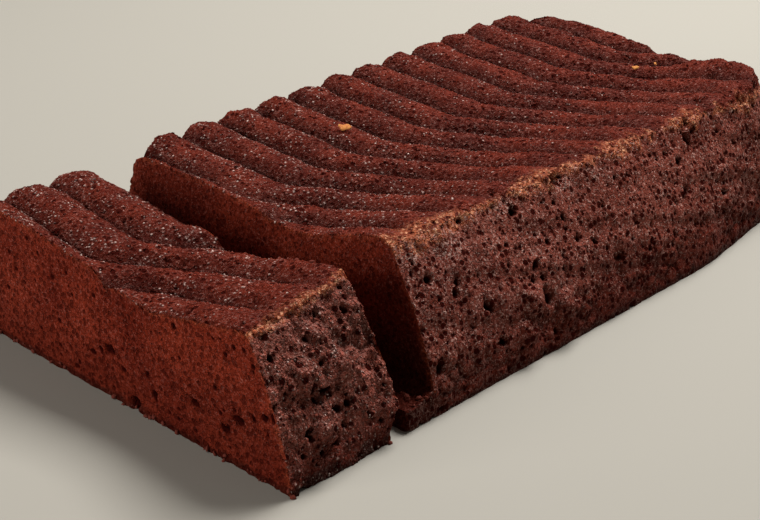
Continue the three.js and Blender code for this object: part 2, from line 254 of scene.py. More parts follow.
# The slice's own: crevices and pits in its craggy end and the larger pores of its front
SLICE_HOLES = np.array(
    [
        (-36.9, 16.2, 41.1, 1.9), (-43.5, 12.8, 36.5, 1.7), (-27.4, 15.3, 38.5, 1.9),
        (-41.6, 9.1, 29.9, 1.6), (-39.6, 5.9, 22.5, 1.8), (-44.0, 6.0, 23.2, 1.8),
        (-47.5, 5.8, 20.6, 1.9), (-40.7, 4.3, 17.2, 2.2), (-40.5, 2.0, 12.7, 1.8),
        (-53.9, 3.2, 14.4, 1.6), (-43.7, 1.5, 8.5, 1.9), (-49.2, 1.1, 7.4, 1.6),
        (-54.9, 7.1, 25.2, 1.4), (-59.4, 12.3, 36.7, 1.4), (-63.0, 67.7, 2.7, 2.6),
        (-62.9, 39.5, 13.0, 2.1), (-62.9, 58.2, 8.2, 1.6), (-62.9, 21.4, 15.2, 2.0),
        (-62.9, 15.1, 18.1, 1.5), (-62.9, 7.8, 20.8, 1.6), (-62.9, 72.0, 11.9, 1.5),
        (-62.9, 78.3, 16.0, 1.7), (-62.9, 87.6, 12.6, 1.5), (-63.0, 96.4, 4.1, 1.7),
        (-62.9, 61.3, 14.7, 1.4), (-62.9, 26.7, 10.1, 1.5),
    ]
)
# Clods that stand out of the slice's craggy end and low on the loaf's skin: x, y, z and radius
SLICE_CLODS = np.array(
    [
        (-39.5, 13.6, 37.8, 3.2), (-36.1, 8.8, 27.3, 5.6), (-48.4, 8.6, 27.6, 5.4),
        (-24.5, 11.0, 32.1, 2.0), (-21.3, 2.3, 10.9, 2.6), (-47.6, 2.6, 14.0, 4.0),
    ]
)
LOAF_CLODS = np.array([(47.0, 5.0, 19.5, 5.0), (62.0, 2.5, 12.0, 6.0), (42.0, 2.0, 10.0, 4.5)])

# Bits of pale flake that lie on the top: x, y, heading in degrees and share of the full length
FLAKES = np.array([(63.9, 105.1, -58.0, 1.0), (199.4, 74.4, -40.0, 0.6), (208.9, 71.3, 30.0, 0.45)])

ORIGIN = np.array([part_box("slice")[0].x * MM - SLICE_FRONT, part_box("loaf")[0].y * MM, 0.0])


def linear(hex_colour):
    """Linear red, green and blue of an sRGB hex colour such as #5E2A1E."""
    share = np.array([int(hex_colour[n : n + 2], 16) / 255 for n in (1, 3, 5)])
    return tuple(np.where(share <= 0.04045, share / 12.92, ((share + 0.055) / 1.055) ** 2.4))


def metres(name, description, default):
    """Property for a length in metres."""
    return bpy.props.FloatProperty(name=name, description=description, default=default, unit="LENGTH")


def srgb(name, description, hex_colour):
    """Property for a colour, set to an sRGB hex colour."""
    return bpy.props.FloatVectorProperty(
        name=name,
        description=description,
        subtype="COLOR",
        default=linear(hex_colour),
    )


class CakeSizes(bpy.types.PropertyGroup):
    """Sizes of the relief that a user would change."""

    rib_depth: metres("Rib depth", "Depth of the grooves between the ribs of the top", 0.0042)
    pore_depth: metres("Pore depth", "Depth of the common pores in the baked sides", 0.0013)
    lump_height: metres("Lump height", "Height of the lumps of the baked sides", 0.0005)
    crust_width: metres("Crust width", "Mean width of the broken crust along the leaning rim", 0.0018)
    crumb_size: metres("Crumb size", "Mean size of the loose crumbs on the torn edges", 0.0013)
    crumb_count: bpy.props.IntProperty(
        name="Crumbs",
        description="Number of loose crumbs on each of the two pieces",
        default=90,
    )
    granule_size: metres("Granule size", "Mean width of the granules of the top", 0.0012)
    granule_gap: metres("Granule spacing", "Mean distance between the granules of the top", 0.00125)
    flake_length: metres("Flake length", "Length of the pale flakes on the top", 0.005)


class CakeColours(bpy.types.PropertyGroup):
    """Colours that a user would change."""

    top: srgb("Top skin", "Thin baked skin of the ribs", "#782B1B")
    top_deep: srgb("Top skin, darker patches", "Moister patches of the ribs", "#5B1D12")
    side: srgb("Side skin", "Baked skin of the long sides and the far end", "#844337")
    side_deep: srgb("Side skin, darker patches", "Torn and moist patches of the sides", "#642C22")
    end: srgb("Torn end", "Moist nodules of the slice's torn end", "#A85B4D")
    end_deep: srgb("Torn end, darker patches", "Denser patches of the slice's torn end", "#703529")
    crumb: srgb("Cut crumb", "Crumb on the cut faces", "#782A19")
    # The darker crumb also serves as painted warm bounce light on the skin near the foot
    crumb_deep: srgb("Cut crumb, darker patches", "Denser crumb, and the skin near the foot", "#611D10")
    # Painted shade inside pores, seams, holes and between granules
    pore_shade: srgb("Pores", "Inside of pores and seams", "#360A05")
    # Painted shade: colour of the grooves, crevices, foot, torn strip and shaded cuts
    painted_shade_and_glints: srgb("Moist grooves", "Dark moist bottom of the grooves, crevices and the foot", "#260C07")
    # Painted sheen: pale streaks and shiny patches on the walls
    painted_sheen: srgb("Sheen", "Pale moist streaks on the walls between the pores", "#C4A096")
    # Painted wet glints on the tips of the granules
    painted_glint: srgb("Glints", "Wet glints on the granules", "#F4DCD2")
    # Painted highlight along the cut edges, on drier crumb
    dry_rim_and_highlight: srgb("Cut rim", "Drier edges of the cut faces", "#8C4028")
    crust: srgb("Broken crust", "Dry broken crust along the leaning rim", "#AF5D3C")
    crust_light: srgb("Broken crust, lighter bits", "Fine pale bits of the broken crust", "#EDAE86")
    flake: srgb("Flakes", "Pale flakes on the top", "#C98A48")
    floor: srgb("Floor", "Plain pale floor", "#9A978F")


def mix(a, b, t):
    """Value at share t of the way from a to b."""
    return a + (b - a) * t


def clamp(t):
    """t kept between 0 and 1."""
    return np.clip(t, 0, 1)


def smooth(t):
    """Smooth step from 0 to 1 as t goes from 0 to 1."""
    t = clamp(t)
    return t * t * (3 - 2 * t)


def along(x):
    """Share of the way along the loaf, over which its steep side spreads and its top rises."""
    return clamp(x / SPREAD_LENGTH)


def ahead(x):
    """Share of the way from the loaf's cut face to the front of the slice."""
    return clamp(x / SLICE_FRONT)


def lean_rim(x):
    """Rim of the leaning side, which steps out a little towards the front of the slice."""
    return mix(LEAN_RIM, LEAN_RIM_SLICE, ahead(x))


def lean_foot(x):
    """Foot of the leaning side, straight and then drawn in towards the far end."""
    return LEAN_FOOT_TAPER * smooth((x - TAPER_FROM) / (TAPER_TO - TAPER_FROM))


def steep_rim(x):
    """Rim of the steep side, nipped in where the cake was cut."""
    return STEEP_RIM + STEEP_SPREAD * along(x) - STEEP_NIP * np.exp(-np.abs(x) / STEEP_NIP_RUN)


def steep_foot(x):
    """Foot of the steep side, spread towards the far end."""
    return STEEP_FOOT + STEEP_SPREAD * along(x)


def slice_shift(y):
    """Forward shift of the slice's ribs, which swing back towards the steep side."""
    return SLICE_SHIFT + SWING * smooth((y - SWING_FROM) / SWING_LENGTH)


def rib_phase(x, y, shift):
    """Ribs counted along the length, whole in the grooves; the sweep over the trough is a smooth step."""
    swept = SWEEP * smooth((SWEEP_FROM - y) / (SWEEP_FROM - SWEEP_TO))
    return (x - shift - GROOVE_X - swept) / RIB_PITCH


def rib(x, y, shift):
    """Rib profile, 0 on the crest and -1 in the groove: a sine's size to a power below 1."""
    return np.abs(np.sin(np.pi * rib_phase(x, y, shift))) ** RIB_ROUNDNESS - 1


def dish(x, y):
    """Level of the rib crests: a trough that curves up to a plateau, a shoulder and a far lip."""
    trough = TROUGH + TROUGH_RISE * along(x) - TROUGH_SLICE_DROP * ahead(x)
    plateau = PLATEAU + PLATEAU_RISE * along(x) - PLATEAU_SLICE_DROP * ahead(x)
    shoulder = SHOULDER - SHOULDER_SLICE_DROP * ahead(x)
    shoulder_y = SHOULDER_Y - SHOULDER_SLICE_SHIFT * ahead(x)
    to_plateau = 1 - (1 - clamp((y - TROUGH_Y) / (PLATEAU_Y - TROUGH_Y))) ** 2
    to_shoulder = smooth((TROUGH_Y - y) / (TROUGH_Y - shoulder_y))
    knobs = KNOB_RISE * smooth((y - KNOB_Y) / KNOB_WIDTH) * smooth(x / KNOB_RUN)
    corner = FAR_CORNER_RISE * smooth((x - FAR_CORNER_X) / FAR_CORNER_LENGTH)
    corner = corner * smooth((FAR_CORNER_Y - y) / FAR_CORNER_WIDTH)
    lip = LIP_RISE * smooth((x - LIP_X) / LIP_LENGTH) * np.exp(-(((y - LIP_Y) / LIP_WIDTH) ** 2))
    level = trough + (plateau - trough) * to_plateau + (shoulder - trough) * to_shoulder
    return level + knobs + corner + lip


def groove_share(x, y):
    """Share of the groove depth at a place: less at the leaning rim, the steep rim and the loaf's cut."""
    lean = mix(FADE_LEAN, 1, smooth((y - lean_rim(x)) / FADE_LEAN_WIDTH))
    steep = mix(FADE_STEEP, 1, smooth((steep_rim(x) - y) / FADE_STEEP_WIDTH))
    clear = np.maximum(smooth(np.abs(x) / FADE_CUT_RUN), smooth((y - FADE_CUT_Y) / FADE_CUT_WIDTH))
    return lean * steep * mix(FADE_CUT, 1, clear)


def top_height(x, y, shift, depth):
    """Dish with the ribs' grooves cut into it."""
    return dish(x, y) + depth * groove_share(x, y) * rib(x, y, shift)


def edge(distance, width):
    """Share of an edge drop: 1 on the rim, 0 one edge width in from it."""
    return (1 - clamp(distance / width)) ** 2


def long_edges(x, y):
    """Drop of the top towards its steep rim and its leaning rim."""
    steep = STEEP_EDGE_DROP * edge(steep_rim(x) - y, STEEP_EDGE)
    return steep + LEAN_EDGE_DROP * edge(y - lean_rim(x), LEAN_EDGE)


def crag(x, z):
    """Wide lumps of the baked sides: two products of crossed sines, the second finer."""
    k = 2 * np.pi / CRAG_LENGTH
    rising, falling = k * (x + CRAG_SLANT * z), k * (z - CRAG_SLANT * x) + CRAG_PHASE
    fine = np.sin(FINE_CRAG * falling) * np.sin(FINE_CRAG * rising + CRAG_PHASE)
    return CRAG * (np.sin(rising) * np.sin(falling) + FINE_SHARE * fine)


def crust_at(x, b, c):
    """Ragged shift of the leaning rim: a short wave inside a long one, strongest at the rim."""
    wave = np.sin(2 * np.pi * x / CRUST_LENGTH) * np.sin(2 * np.pi * x / CRUST_SWELL + 1)
    return CRUST_RAGGED * wave * c**CRUST_HEIGHT_POWER * (1 - b) ** CRUST_WIDTH_POWER


def outline(a, b, far_end, radius, near, far):
    """Plan point at shares a along and b across an outline with two rounded far corners."""
    trim = radius * (1 - np.sqrt(0.5))
    corner_x = far_end - trim
    width = far(corner_x) - near(corner_x)
    across = mix(trim, width - trim, b)
    dip_near = np.maximum(0, radius - across)
    dip_far = np.maximum(0, radius - (width - across))
    end_x = far_end - 2 * radius + np.sqrt(radius**2 - dip_near**2) + np.sqrt(radius**2 - dip_far**2)
    side_x = a * corner_x
    arc = radius - np.sqrt(radius**2 - np.maximum(0, side_x - (far_end - radius)) ** 2)
    return a * end_x, mix(near(side_x) + arc, far(side_x) - arc, b)


def loaf_point(a, b, c, depth):
    """Points of the loaf at shares a along, b across and c up: foot and rim outlines blended by height."""
    foot_x, foot_y = outline(a, b, FAR_FOOT, CORNER_FOOT, lean_foot, steep_foot)
    rim_x, rim_y = outline(a, b, FAR_RIM, CORNER_RIM, lean_rim, steep_rim)
    drop = long_edges(rim_x, rim_y) + FAR_EDGE_DROP * edge(FAR_RIM - rim_x, FAR_EDGE)
    z = c * (top_height(rim_x, rim_y, 0, depth) - drop)
    leaning = c**LEAN_POWER
    scallop = SCALLOP * rib(rim_x, STEEP_RIM, 0) * b**SCALLOP_POWER
    at_cut = 1 - smooth(a / STRIP_REACH)
    tear = (STRIP_LENGTH + STRIP_RAGGED * np.sin(STRIP_WAVES * b + 1)) * at_cut
    tear = tear * clamp((STRIP_ROOT - c) / (STRIP_ROOT - STRIP_TOP))
    x = mix(foot_x - CUT_FLARE * at_cut, rim_x, leaning) - tear
    y = mix(foot_y, rim_y + scallop, leaning)
    lumps = crag(x, z) * np.sin(np.pi * c) * smooth(a / CALM)
    out_y = (b == 1) * 1.0 - (b == 0)
    y = y + lumps * out_y + crust_at(x, b, c) * smooth(a / CALM)
    return np.stack([x + lumps * (a == 1), y, z], axis=-1)


def slice_point(a, b, c, depth):
    """Points of the slice at the same shares, between its two cut faces."""
    foot_x, rim_x = mix(SLICE_FRONT, SLICE_BACK, a), mix(SLICE_FRONT_RIM, SLICE_BACK_RIM, a)
    rim_y = mix(lean_rim(rim_x), steep_rim(rim_x), b)
    z = c * (top_height(rim_x, rim_y, slice_shift(rim_y), depth) - long_edges(rim_x, rim_y))
    leaning = c**LEAN_POWER
    scallop = SCALLOP * rib(rim_x, STEEP_RIM, slice_shift(STEEP_RIM)) * b**SCALLOP_POWER
    at_back = smooth((a - TORN_FROM) / (1 - TORN_FROM)) * (1 - b) ** TORN_POWER
    x = mix(foot_x, rim_x, leaning) - TORN * at_back * smooth((TORN_TOP - c) / TORN_TOP)
    y = mix(mix(lean_foot(foot_x), steep_foot(foot_x), b), rim_y + scallop, leaning)
    calm = smooth(a / (2 * CALM)) * smooth((1 - a) / (2 * CALM))
    lumps = SLICE_CRAG * crag(x, z) * np.sin(np.pi * c) * calm
    y = y + lumps * ((b == 1) * 1.0 - (b == 0)) + crust_at(x, b, c)
    return np.stack([x, y, z], axis=-1)


# Odd factors, a step and a word length that mix whole numbers into random ones
CELL_FACTORS, SEED_FACTOR = np.array([73856093, 19349663, 83492791]), 2654435761
ROLL_STEP, MIX_FACTOR, WORD, HALF_WORD = 40503 * 65537, 0x45D9F3B, 0xFFFFFFFF, 16


def dice(cells, seed):
    """Four random shares for each whole-number cell: its address mixed by odd factors and shifts."""
    mixed = (cells * CELL_FACTORS).sum(axis=-1) + seed * SEED_FACTOR
    mixed = (mixed[:, None] + np.arange(1, 5) * ROLL_STEP) & WORD
    for _ in range(2):
        mixed = ((mixed ^ (mixed >> HALF_WORD)) * MIX_FACTOR) & WORD
    return (mixed ^ (mixed >> HALF_WORD)) / (WORD + 1.0)


def lumps(points, size, seed):
    """Random swell from -1 to 1: random levels at the corners of cubes of that size, blended smoothly."""
    cell = np.floor(points / size).astype(np.int64)
    share = smooth(points / size - cell)
    total = np.zeros(len(points))
    for corner in np.ndindex(2, 2, 2):
        weight = np.prod(np.where(corner, share, 1 - share), axis=1)
        total += weight * (2 * dice(cell + np.array(corner), seed)[:, 0] - 1)
    return total


def layered(points, layers):
    """Random swells added up, each given by the size of its lumps, their height and a seed."""
    return sum(height * lumps(points, size, seed) for size, height, seed in layers)


def bowl(distance, radius):
    """Depth of a round pit from 1 in the middle to 0 at its radius: one less the square of the share."""
    return np.maximum(0, 1 - (distance / np.maximum(radius, TINY)) ** 2)


def neighbours(points, size, seed):
    """For each of the 27 cubes round the points: distance to a random point in it, and one more roll."""
    cell = np.floor(points / size).astype(np.int64)
    for step in np.ndindex(3, 3, 3):
        corner = cell + np.array(step) - 1
        roll = dice(corner, seed)
        yield np.linalg.norm((corner + roll[:, :3]) * size - points, axis=1), roll[:, 3]


def pores(points, spacing, radius, share, seed):
    """Depth of scattered pits: a share of the cubes of that spacing has one, up to that radius."""
    depth = np.zeros(len(points))
    for distance, roll in neighbours(points, spacing, seed):
        reach = radius * mix(SMALL_PORE, 1, (roll * PORE_SPREAD) % 1) * (roll < share)
        depth = np.maximum(depth, bowl(distance, reach))
    return depth


def holes(points, placed):
    """Depth and radius of the placed hole nearest to each point in shares of its radius, frayed."""
    frayed = points + FRAY * np.stack([lumps(points, FRAY_SIZE, seed) for seed in FRAY_SEEDS], axis=1)
    distance = np.linalg.norm(frayed[:, None] - placed[:, :3], axis=2)
    nearest = np.argmin(distance / placed[:, 3], axis=1)
    radius = placed[nearest, 3]
    return bowl(np.take_along_axis(distance, nearest[:, None], axis=1)[:, 0], radius), radius


def face_cells(axis, level, cells):
    """Corners of the grid cells on one face of a box of cells, as lattice addresses, turning outwards."""
    u_axis, v_axis = (axis + 1) % 3, (axis + 2) % 3
    u, v = np.meshgrid(np.arange(cells[u_axis]), np.arange(cells[v_axis]), indexing="ij")
    turn = [(0, 0), (1, 0), (1, 1), (0, 1)] if level else [(0, 0), (0, 1), (1, 1), (1, 0)]
    steps = np.array(turn)
    corners = np.zeros((u.size, 4, 3), np.int64)
    corners[..., axis] = level
    corners[..., u_axis] = u.reshape(-1, 1) + steps[:, 0]
    corners[..., v_axis] = v.reshape(-1, 1) + steps[:, 1]
    return corners


def address(lattice, cells):
    """One whole number for each lattice point of a box of cells, counted up, then across, then along."""
    return (lattice * np.array([(cells[1] + 1) * (cells[2] + 1), cells[2] + 1, 1])).sum(axis=-1)


def box_surface(cells, faces):
    """Some faces of a box of cells, given by axis and level: lattice points, quads, each quad's face."""
    corners = [face_cells(axis, level, cells) for axis, level in faces]
    kinds = np.repeat(np.arange(len(faces)), [len(c) for c in corners])
    keys, index = np.unique(address(np.concatenate(corners), cells), return_inverse=True)
    ups = cells[2] + 1
    lattice = np.stack([keys // ups // (cells[1] + 1), keys // ups % (cells[1] + 1), keys % ups], axis=1)
    return lattice, index.reshape(-1, 4), kinds


def closed_box(cells):
    """All six faces of a box of cells: lattice points and quads."""
    faces = [(axis, level) for axis in range(3) for level in (0, cells[axis])]
    lattice, quads, _ = box_surface(cells, faces)
    return lattice, quads


def shell(cells):
    """Top, sides and ends of a box of cells, and the ring of points round its open foot."""
    lattice, quads, kinds = box_surface(cells, [(2, cells[2]), (1, 0), (1, cells[1]), (0, 0), (0, cells[0])])
    near = [(0, j, 0) for j in range(cells[1])]
    steep = [(i, cells[1], 0) for i in range(cells[0])]
    far = [(cells[0], j, 0) for j in range(cells[1], 0, -1)]
    lean = [(i, 0, 0) for i in range(cells[0], 0, -1)]
    ring = address(np.array(near + steep + far + lean), cells)
    return lattice, quads, kinds, np.searchsorted(address(lattice, cells), ring)


def unit(vectors):
    """Vectors divided by their lengths."""
    return vectors / np.maximum(np.linalg.norm(vectors, axis=1, keepdims=True), TINY)


def crossed(points, quads):
    """Cross product of the diagonals of each quad: along its normal, twice as long as its area."""
    return np.cross(points[quads[:, 2]] - points[quads[:, 0]], points[quads[:, 3]] - points[quads[:, 1]])


def normals(points, quads):
    """Unit normals: the cross products of the diagonals of the quads round each point, added up."""
    total = np.zeros_like(points)
    for corner in range(4):
        np.add.at(total, quads[:, corner], crossed(points, quads))
    return unit(total)


def build_mesh(name, points, faces, ring=(), kinds=None, values=None, materials=()):
    """Object from points in millimetres, kept above ground, faces, a flat foot and values of the points."""
    mesh = bpy.data.meshes.new(name)
    polygons = len(faces) + (1 if len(ring) else 0)
    corners = np.concatenate([faces.ravel(), np.asarray(ring, np.int64)])
    mesh.vertices.add(len(points))
    standing = np.maximum(points, (-np.inf, -np.inf, 0))
    mesh.vertices.foreach_set("co", ((standing + ORIGIN) / MM).astype(np.float32).ravel())
    mesh.loops.add(len(corners))
    mesh.loops.foreach_set("vertex_index", corners.astype(np.int32))
    mesh.polygons.add(polygons)
    mesh.polygons.foreach_set("loop_start", (faces.shape[1] * np.arange(polygons)).astype(np.int32))
    for material in materials:
        mesh.materials.append(material)
    if kinds is not None:
        slots = np.concatenate([kinds, [0] * (polygons - len(faces))])
        mesh.polygons.foreach_set("material_index", slots.astype(np.int32))
    mesh.polygons.foreach_set("use_smooth", np.ones(polygons, bool))
    for key, value in (values or {}).items():
        layer = mesh.attributes.new(key, "FLOAT", "POINT")
        layer.data.foreach_set("value", value.astype(np.float32))
    mesh.update(calc_edges=True)
    mesh.validate()
    piece = bpy.data.objects.new(name, mesh)
    bpy.context.scene.collection.objects.link(piece)
    return piece


def levels(count, crowd):
    """Shares from 0 to 1 in that many steps, crowded towards both ends by a sine."""
    step = np.arange(count + 1) / count
    share = step - crowd * np.sin(2 * np.pi * step) / (2 * np.pi)
    share[0], share[-1] = 0, 1
    return share


def strip_levels(count):
    """Shares of the loaf's height: even below the strip's top, close together in its step, even above."""
    below, within = STRIP_LEVELS
    low = np.linspace(0, STRIP_TOP, below + 1)
    step = np.linspace(STRIP_TOP, STRIP_ROOT, within + 1)
    high = np.linspace(STRIP_ROOT, 1, count - below - within + 1)
    return np.concatenate([low, step[1:], high[1:]])


def clods(points, size, seed):
    """Share from 0 in the crevices to 1 on the clods: how much further the second nearest point is."""
    first = np.full(len(points), np.inf)
    second = first
    for away, _ in neighbours(points, size, seed):
        second = np.minimum(second, np.maximum(first, away))
        first = np.minimum(first, away)
    return clamp((second - first) / (CREVICE_WIDTH * size))


def overhang(x):
    """Length of side below the leaning rim that the top's skin covers, a smooth step along the loaf."""
    return OVERHANG * smooth((x - OVERHANG_FROM) / OVERHANG_RUN)


def crust_line(points, b, c, width):
    """Strength of the broken crust from 0 to 1: near the leaning rim, as wide as a swell along it gives."""
    x = points[:, 0]
    uneven = mix(1, CRUST_UNEVEN_SLICE, x < 0)
    swell = uneven * (layered(points * np.array([1, 0, 0]), CRUST_WIDTHS) - CRUST_NARROW)
    wide = WIDE_CRUST * np.exp(-(((x - WIDE_CRUST_X) / WIDE_CRUST_LENGTH) ** 2))
    reach = CRUST_REACH * width * (1 + swell + wide)
    below = (1 - c) * SIDE_HEIGHT - overhang(x)
    away = b * TOP_WIDTH + CRUST_DOWN * np.abs(below) + uneven * layered(points, CRUST_BREAKS)
    return smooth(CRUST_SHARP * (1 - away / np.maximum(reach, CRUST_LEAST)))


def painted_shine_patches(x, c):
    """Strength of the placed patches of painted wet shine below the leaning rim: the sum of a bell round
    each.
    """
    along_rim = (x[:, None] - PAINTED_SHINE_PATCHES[:, 0]) / SHINE_PATCH_LENGTH
    down = (c[:, None] - PAINTED_SHINE_PATCHES[:, 1]) / SHINE_PATCH_HEIGHT
    return np.exp(-(along_rim**2) - down**2).sum(axis=1)


def groove_shade(points, shift):
    """Painted shade in the bottom of the grooves from 0 to 1, which climbs the next rib further than the
    last one.
    """
    x, y = points[:, 0], points[:, 1]
    share = rib_phase(x, y, shift) % 1
    slope = np.maximum(FRONT_SHADE * smooth(1 - share / FRONT_RUN), smooth((share - BACK_FROM) / BACK_RUN))
    return np.sqrt(groove_share(x, y)) * np.maximum(slope, smooth(BOTTOM_SHADE - share / BOTTOM_RUN))


def baked_top(points, b, shift, fill):
    """Relief, pore depth and crevices of the top: uneven ribs, filled grooves, knobs, pores, no crevices."""
    x, y = points[:, 0], points[:, 1]
    at_rim = smooth((b - KNOBS_FROM) / KNOBS_WIDTH) * mix(SLICE_KNOBS, 1, x > 0)
    craggy = np.maximum(at_rim, smooth((x - FAR_KNOBS_X) / FAR_KNOBS_RUN))
    pits = pores(points, *TOP_PORES)
    off = (rib_phase(x, y, shift) + 0.5) % 1 - 0.5
    filled = fill * groove_share(x, y) * np.exp(-((off / FILL_WIDTH) ** 2))
    swell = layered(points, TOP_SWELL) + craggy * layered(points, KNOB_SWELL)
    return swell + filled - TOP_PORE_DEPTH * pits, pits, np.zeros(len(points))


def baked_side(points, c, sizes, rough):
    """Relief, pore depth and crevices of a baked side: lumps, pores, and clods towards the foot."""
    height, depth = sizes.lump_height * MM * rough, sizes.pore_depth * MM
    swell = height * layered(points, SIDE_SWELL) * mix(FOOT_LUMPS, 1, smooth(c / FOOT_LUMPS_RUN))
    torn = mix(END_BREAKS, END_TOP_BREAKS, smooth((c - END_TOP) / END_TOP_RUN)) * (rough > ROUGH_END)
    broken = np.maximum(LOW_BREAKS * smooth((LOW_FROM - c) / LOW_RUN), torn)
    broken = broken * smooth(layered(points, BREAK_SWELL) + BREAK_COVER)
    crevice = (1 - clods(points, CLOD_SIZE, CLOD_SEED)) * broken * smooth(c / FOOT_CALM)
    common, large = pores(points, *SIDE_PORES), pores(points, *LARGE_SIDE_PORES)
    relief = swell - depth * (common + LARGE_SIDE_DEPTH * large) - CREVICE_DEPTH * height * crevice
    return relief, np.maximum(common, large), crevice


def cut_crumb(points, c, looks):
    """Relief, pore depth and painted shade of a cut: almost flat with pores, rough where it tore."""
    tear, share = looks["tear"], looks["pored"]
    fine = pores(points, *CUT_PORES, share, CUT_SEED)
    large = pores(points, *LARGE_CUT_PORES, LARGE_CUT_PART * share, CUT_SEED + 1)
    rough = smooth((looks["torn"] + TEAR_ABOVE - c) / TEAR_RUN)
    swell = layered(points, CUT_SWELL) + tear * rough * layered(points, TEAR_SWELL)
    # Painted shadow on the cut, low down and towards the leaning side
    leaning = smooth((CUT_SHADOW_TOP - c) / CUT_SHADOW_RUN) * smooth((CUT_SHADOW_Y - points[:, 1]) / CUT_SHADOW_WIDTH)
    damp = np.maximum(looks["damp"], np.maximum(leaning, smooth((LOW_FROM - c) / LOW_RUN)))
    painted_shade_and_glints = np.maximum(TEAR_SHADE * rough, CUT_SHADE * tear * damp)
    return swell - CUT_PORE_DEPTH * fine - LARGE_CUT_DEPTH * large, np.maximum(fine, large), painted_shade_and_glints


def cake_surface(name, form, looks, sizes, materials):
    """Surface of one piece: its form on a lattice, then relief along the normals, chosen by face."""
    cells, both_cut = form["cells"], form["both_cut"]
    lattice, quads, kinds, ring = shell(cells)
    a = lattice[:, 0] / cells[0]
    b = levels(cells[1], RIM_CROWD)[lattice[:, 1]]
    c = form["ups"][lattice[:, 2]]
    points = form["point"](a, b, c, sizes.rib_depth * MM)
    outward = normals(points, quads)
    x, y = points[:, 0], points[:, 1]
    on_top, on_lean, far_end = lattice[:, 2] == cells[2], lattice[:, 1] == 0, lattice[:, 0] == cells[0]
    on_cut = (lattice[:, 0] == 0) | (far_end & both_cut)
    on_side = on_lean | (lattice[:, 1] == cells[1]) | (far_end & (not both_cut))
    faces = np.stack([on_top, on_side, on_cut]).astype(float)
    share = faces / faces.sum(axis=0)
    shift = form["shift"](y)
    reliefs = [
        baked_top(points, b, shift, looks["fill"]),
        baked_side(points, c, sizes, np.where(b < 0.5, looks["rough"], 1.0)),
        cut_crumb(points, c, looks),
    ]
    # The third value of each is painted shade: none on the top, crevices of the sides, shaded cuts
    relief, hollow, dark = (sum(w * r[n] for w, r in zip(share, reliefs)) for n in range(3))
    deep, radius = holes(points, looks["holes"])
    proud, swell = holes(points, looks["clods"])
    at_far_end = smooth((a - CRUST_END) / (1 - CRUST_END)) * (not both_cut)
    crust = crust_line(points, b, c, sizes.crust_width * MM) * (1 - at_far_end)
    torn = looks["tear"] * (c < looks["torn"])
    ragged = (layered(points, EDGE_SWELL) - EDGE_SUNK) * (1 + TEAR_RAGGED * torn)
    cut_edge = on_cut & (on_top | on_side)
    placed = CLOD_HEIGHT * swell * proud * (1 - deep) - HOLE_DEPTH * radius * deep
    relief = relief + placed + cut_edge * ragged + crust * (CRUST_LIFT + layered(points, CRUST_RELIEF))
    moved = points + outward * relief[:, None]
    moved[:, 2] = np.where(lattice[:, 2] == 0, 0, np.maximum(moved[:, 2], LEAST_RISE))
    # Painted shade along the foot
    foot = smooth((FOOT_DARK + layered(points, FOOT_SWELL) - moved[:, 2]) / FOOT_FADE) * ~on_top
    # Painted shade in the grooves
    grooves = looks["groove"] * on_top * groove_shade(points, shift)
    # Painted shadow of the slice on the outer side of the torn strip
    strip = STRIP_SHADE * smooth(-x / STRIP_SHADE_RUN) * on_side * (not both_cut)
    inset = np.minimum(np.minimum(b, 1 - b) * TOP_WIDTH, (1 - c) * SIDE_HEIGHT)
    hung = on_lean & ((1 - c) * SIDE_HEIGHT < overhang(x))
    pitted = np.maximum(hollow, deep)
    off_crust = clamp(1 - KEEP_OFF * crust)
    open_groove = smooth((BARE_GROOVE - grooves) / BARE_GROOVE_RUN)
    values = {
        "hollow": pitted,
        "crust": crust,
        "shade": np.maximum.reduce([dark, grooves, FOOT_SHADE * foot, strip]),
        # Painted highlight along the cut edges, on drier crumb
        "dry_rim_and_highlight": on_cut * smooth(DRY_HIGHLIGHT_RIM - inset / RIM_WIDTH + layered(points, RIM_SWELL)) * (1 - torn),
        # Painted warm bounce light: the skin gets redder and darker towards the foot
        "foot": smooth((RED_FROM - c) / RED_RUN),
        # Where the painted wet glints of the top crowd
        "painted_shade_and_glints": smooth((y - GLINT_CROWD_Y) / GLINT_CROWD_WIDTH) * mix(1, GLINT_CROWD_FAR, along(x) ** GLINT_CROWD_POWER),
        "loose": LOOSE_CRUST * crust + LOOSE_EDGE * cut_edge + on_cut * torn,
        "grainy": (on_top | hung) * clamp(1 - KEEP_OFF * hollow) * off_crust * open_groove,
        "nodular": on_lean * clamp(1 - KEEP_OFF * pitted) * off_crust,
        # Painted wet shine on the leaning side
        "painted_shine": on_lean * (PAINTED_SHINE_SKIN * clamp(1 - x / PAINTED_SHINE_END) + painted_shine_patches(x, c)),
    }
    slots = np.array([TOP, looks["skin"], SIDE, CUT, CUT if both_cut else SIDE])[kinds]
    slots[hung[quads].all(axis=1)] = TOP
    piece = build_mesh(name, moved, quads, ring, slots, values, materials)
    piece.data.set_sharp_from_angle(angle=np.radians(SHARP_ANGLE))
    return piece


